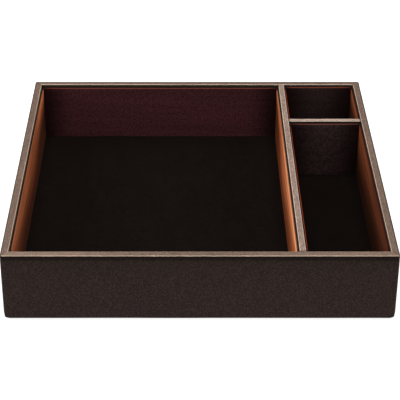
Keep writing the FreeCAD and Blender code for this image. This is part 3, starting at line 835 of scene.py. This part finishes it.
# a wall lining's velvet: up the face, over the card's top and down behind it, its ends rounded off
def wrapLining(bay, side, size):
    node = bay + "_" + side + "_velvet"
    low, high = nodeSpan(node)
    longWay = 0 if side in ("front", "back") else 1
    alongWay = np.eye(3)[longWay]
    outOfBay = np.eye(3)[1 - longWay] * (1.0 if side in ("back", "right") else -1.0)
    width = (high - low)[1 - longWay]
    length = (high - low)[longWay]
    section, outward, walked = foldedSection(
        [(0.0, low[2]), (0.0, high[2]), (width, high[2]), (width, high[2] - size["turnBehind"])],
        size["fold"], 3 * (size["step"],), size["arcSteps"])
    places = runPlaces(length, size["nearEnd"], size["step"])
    fromEnd = np.minimum(places, length - places)
    onFace = outward[:, :1] < size["facingBack"]
    inBay = smoothRamp(0.0, size["unevenFrom"], section[:, 1:] - low[2]) * onFace
    run, girth = np.broadcast_arrays(places[None], walked[:, None])
    drawnIn = softEnd(fromEnd, size["endRound"])[None] * size["endShare"]
    drawnIn = drawnIn + size["uneven"] * inBay * unevenness(
        run, girth, size["unevenWave"], size["seed"] + len(sides) * bays.index(bay) + sides.index(side))
    face = np.where(outOfBay > 0.0, low, high) * np.abs(outOfBay) + low * alongWay
    layers = straightSweep(face, places, alongWay, outOfBay, section, outward, drawnIn, size["thickness"])
    flat = np.stack([run, girth], axis=-1)
    # painted sheen and light from the rim down to a depth that grows from the back wall towards the front:
    # shallow near the back wall, as its painted shadow
    depth = high[2] - section[:, 1:]
    fromBack = (length - places)[None]
    sheenSet = sheenPainting.get(bay + "_" + side, sheenPainting["other"])
    forward = smoothRamp(0.0, size["sheenRun"], fromBack)
    reach = between(sheenSet["reach"], forward) * mm
    nap = between((sheenSet["foot"], 1.0), np.exp(-(depth / reach) ** sheenSet["power"]))
    nearTop = np.exp(-(depth / size["crestRun"]) ** 2)
    nap = between(sheenSet["full"], forward) * nap + between(sheenSet["crest"], forward ** 2) * nearTop
    glow = np.zeros_like(nap)
    if side in ("left", "right"):  # only the side walls get the painted sheen
        sheenShare = between(sheenSet["sheenShare"], fromBack / length)
        glow = np.minimum(nap * sheenShare, 1.0) * (1.0 - smoothRamp(0.0, size["foldFade"], outward[:, 1:]))
    # painted highlight along the top edge
    lipHighlight = lipHighlights.get(bay + "_" + side, lipHighlights["other"])
    onTop = smoothRamp(lipHighlight["fold"], 0.5 + 0.5 * lipHighlight["fold"], outward[:, 1:])
    worn = lipHighlight["share"] * onTop * (1.0 - smoothRamp(*size["lipFade"], section[:, :1] / (lipHighlight["width"] * mm)))
    worn = worn * smoothRamp(0.0, size["lipRun"], fromEnd)[None]
    # the lying pile's red, with painted shade in the corners
    bloom = np.zeros_like(places)
    if side in ("front", "back"):
        fromCorner = smoothRamp(0.0, size["bloomRun"], fromEnd)
        bloom = size["bloom"][bay] * between((size["cornerBloom"], 1.0), fromCorner)
    bloom = bloom[None] * (1.0 - onTop) * (1.0 - size["crestDim"] * nearTop)
    marks = {"nap": nap, "glow": glow, "bloom": bloom, "worn": worn}
    # each place takes its copy of the velvet, set for the light there
    velvet = sideBayVelvet
    if bay == "main_bay":
        velvet = {"left": leftVelvet, "right": wallVelvet}.get(side, backVelvet)
    piece = sheetPiece(bay + "_" + side + "_lining", *layers, flat, marks, velvet)
    settle(piece, node)


for bay in bays:
    for side in sides:
        wrapLining(bay, side, lining)
print("bay walls lined")

floorLining = {
    "uneven": 0.12 * mm, "unevenWave": 60.0 * mm, "unevenFrom": (2.0 * mm, 6.0 * mm),  # from an edge
    "nearEnd": (0.0, 1.0, 3.0), "step": 6.0 * mm, "bloom": 0.8, "seed": 71,
}


# a bay floor's velvet: a flat sheet whose upper face sinks a little, away from its edges
def layFloor(bay, size):
    node = bay + "_floor_velvet"
    low, high = nodeSpan(node)
    width, length = (high - low)[:2]
    across, along, edge = flatGrid(width, length, size)
    sunk = size["uneven"] * smoothRamp(*size["unevenFrom"], edge) * unevenness(
        across, along, size["unevenWave"], size["seed"] + bays.index(bay))
    upper = np.stack([low[0] + across, low[1] + along, high[2] - sunk], axis=-1)
    lower = np.stack([low[0] + across, low[1] + along, np.full_like(sunk, low[2])], axis=-1)
    flat = np.stack([along, across], axis=-1)
    marks = {"nap": 0.0, "glow": 0.0, "bloom": size["bloom"], "worn": 0.0}
    piece = sheetPiece(bay + "_floor_lining", upper, lower, flat, marks, floorVelvet)
    settle(piece, node)


for bay in bays:
    layFloor(bay, floorLining)
print("bay floors laid")

underFelt = {
    "corner": 3.0 * mm, "edgeRound": 0.4 * mm,
    "uneven": 0.15 * mm, "unevenWave": 40.0 * mm, "unevenFrom": (1.0 * mm, 5.0 * mm),  # from an edge
    "nearEnd": (0.0, 0.15, 0.4, 1.0, 2.0, 3.0, 5.0), "step": 8.0 * mm, "seed": 81,
}


# the felt under the base: a flat sheet with quarter-circle corners, soft along its cut edge
def layFelt(size):
    low, high = nodeSpan("base_felt")
    width, length = (high - low)[:2]
    across, along, edge = flatGrid(width, length, size)
    offX, offY = across - width / 2.0, along - length / 2.0
    outX = np.maximum(np.abs(offX) - (width / 2.0 - size["corner"]), 0.0)  # how far into a corner square
    outY = np.maximum(np.abs(offY) - (length / 2.0 - size["corner"]), 0.0)
    shrink = np.maximum(outX, outY) / np.maximum(np.hypot(outX, outY), tiny)
    shrink = np.where((outX > 0.0) & (outY > 0.0), shrink, 1.0)
    offX = np.sign(offX) * (np.abs(offX) - outX + outX * shrink)
    offY = np.sign(offY) * (np.abs(offY) - outY + outY * shrink)
    raised = softEnd(edge, size["edgeRound"])
    raised = raised + size["uneven"] * smoothRamp(*size["unevenFrom"], edge) * unevenness(
        across, along, size["unevenWave"], size["seed"])
    middle = (low + high) / 2.0
    lower = np.stack([middle[0] + offX, middle[1] + offY, low[2] + raised], axis=-1)
    upper = np.stack([middle[0] + offX, middle[1] + offY, np.full_like(raised, high[2])], axis=-1)
    flat = np.stack([across, along], axis=-1)
    piece = sheetPiece("base_felt_sheet", lower, upper, flat, {}, baseFelt)
    settle(piece, "base_felt")


layFelt(underFelt)
print("felt laid")

# stage: a plain pale floor that stays white and hardly lights the tray
stageLook = {"reach": 6.0, "glow": 0.86, "matt": 0.30}


# the stage's floor: a large square, its surface a glow plus a dim matt white
def makeFloor(look):
    material, tree, shader = newMaterial("stageFloor")
    tree.nodes.remove(shader)
    white = addNode(tree, "ShaderNodeEmission", (-400, 100))
    white.inputs["Strength"].default_value = look["glow"]
    matt = addNode(tree, "ShaderNodeBsdfDiffuse", (-400, -100))
    matt.inputs["Color"].default_value = (look["matt"], look["matt"], look["matt"], 1.0)
    both = addNode(tree, "ShaderNodeAddShader", (-150, 0))
    tree.links.new(white.outputs[0], both.inputs[0])
    tree.links.new(matt.outputs[0], both.inputs[1])
    side = addNode(tree, "ShaderNodeNewGeometry", (-150, 250))
    clear = addNode(tree, "ShaderNodeBsdfTransparent", (-150, -200))
    oneSided = addNode(tree, "ShaderNodeMixShader", (60, 0))  # clear from below, to show the underside
    tree.links.new(side.outputs["Backfacing"], oneSided.inputs[0])
    tree.links.new(both.outputs[0], oneSided.inputs[1])
    tree.links.new(clear.outputs[0], oneSided.inputs[2])
    tree.links.new(oneSided.outputs[0], tree.nodes["Material Output"].inputs["Surface"])
    reach = look["reach"]
    mesh = bpy.data.meshes.new("stageFloor")
    corners = [(-reach, -reach, 0.0), (reach, -reach, 0.0), (reach, reach, 0.0), (-reach, reach, 0.0)]
    mesh.from_pydata(corners, [], [(0, 1, 2, 3)])
    mesh.materials.append(material)
    floor = bpy.data.objects.new("stageFloor", mesh)
    bpy.context.scene.collection.objects.link(floor)
    floor.visible_diffuse = False
    floor.visible_glossy = False


makeFloor(stageLook)

# light: soft panels behind, overhead and on both sides, the left one stronger, in a dim room
panels = {
    "backPanel": {"place": (-0.35, 1.25, 1.15), "aim": (0.0, 0.0, 0.05), "size": (1.8, 1.0), "power": 5.5},
    "topPanel": {"place": (0.0, -0.05, 1.7), "aim": (0.0, 0.0, 0.0), "size": (0.9, 0.7), "power": 32.0},
    "leftPanel": {"place": (-1.35, 0.25, 0.75), "aim": (0.0, 0.0, 0.05), "size": (1.0, 1.0), "power": 24.0},
    "rightPanel": {"place": (1.35, 0.25, 0.75), "aim": (0.0, 0.0, 0.05), "size": (1.0, 1.0), "power": 22.0},
}
panelColour = (1.0, 0.985, 0.88)
room = {"colour": (1.0, 0.955, 1.09, 1.0), "strength": 0.25}


# puts a light in its place and turns it to its aim: first tipped up from straight down, then swung round
def pointAt(thing, place, aim):
    way = np.array(aim) - np.array(place)
    thing.location = place
    flat = math.hypot(way[0], way[1])
    thing.rotation_euler = (math.atan2(flat, -way[2]), 0.0, math.atan2(-way[0], way[1]))


for name, panel in panels.items():
    light = bpy.data.lights.new(name, "AREA")
    light.shape = "RECTANGLE"
    light.size, light.size_y = panel["size"]
    light.energy = panel["power"]
    light.color = panelColour
    lamp = bpy.data.objects.new(name, light)
    bpy.context.scene.collection.objects.link(lamp)
    pointAt(lamp, panel["place"], panel["aim"])
world = bpy.data.worlds.new("room")
world.use_nodes = True
world.node_tree.nodes["Background"].inputs["Color"].default_value = room["colour"]
world.node_tree.nodes["Background"].inputs["Strength"].default_value = room["strength"]
bpy.context.scene.world = world
bpy.context.scene.view_settings.view_transform = "Standard"
bpy.context.scene.view_settings.look = "None"
print("stage lit:", len(panels), "panels")

# camera: the view measured from the photograph's 400 pixel frame
viewFrom = {
    "tiltDown": 30.44, "distance": 1.28235, "aim": (-0.01099, 0.0, 0.0192), "clipStart": 0.05,
    "focalPixels": 1421.8, "imagePixels": 400.0, "sensor": 36.0, "shiftRight": 0.035,
}
eye = bpy.data.cameras.new("photoView")
eye.sensor_width = viewFrom["sensor"]
eye.lens = viewFrom["focalPixels"] / viewFrom["imagePixels"] * viewFrom["sensor"]
eye.shift_x = viewFrom["shiftRight"]
eye.clip_start = viewFrom["clipStart"]
camera = bpy.data.objects.new("photoView", eye)
bpy.context.scene.collection.objects.link(camera)
tilt = math.radians(viewFrom["tiltDown"])
back = np.array([0.0, -math.cos(tilt), math.sin(tilt)])
camera.location = np.array(viewFrom["aim"]) + viewFrom["distance"] * back
camera.rotation_euler = (math.pi / 2.0 - tilt, 0.0, 0.0)
bpy.context.scene.camera = camera
print("camera placed")
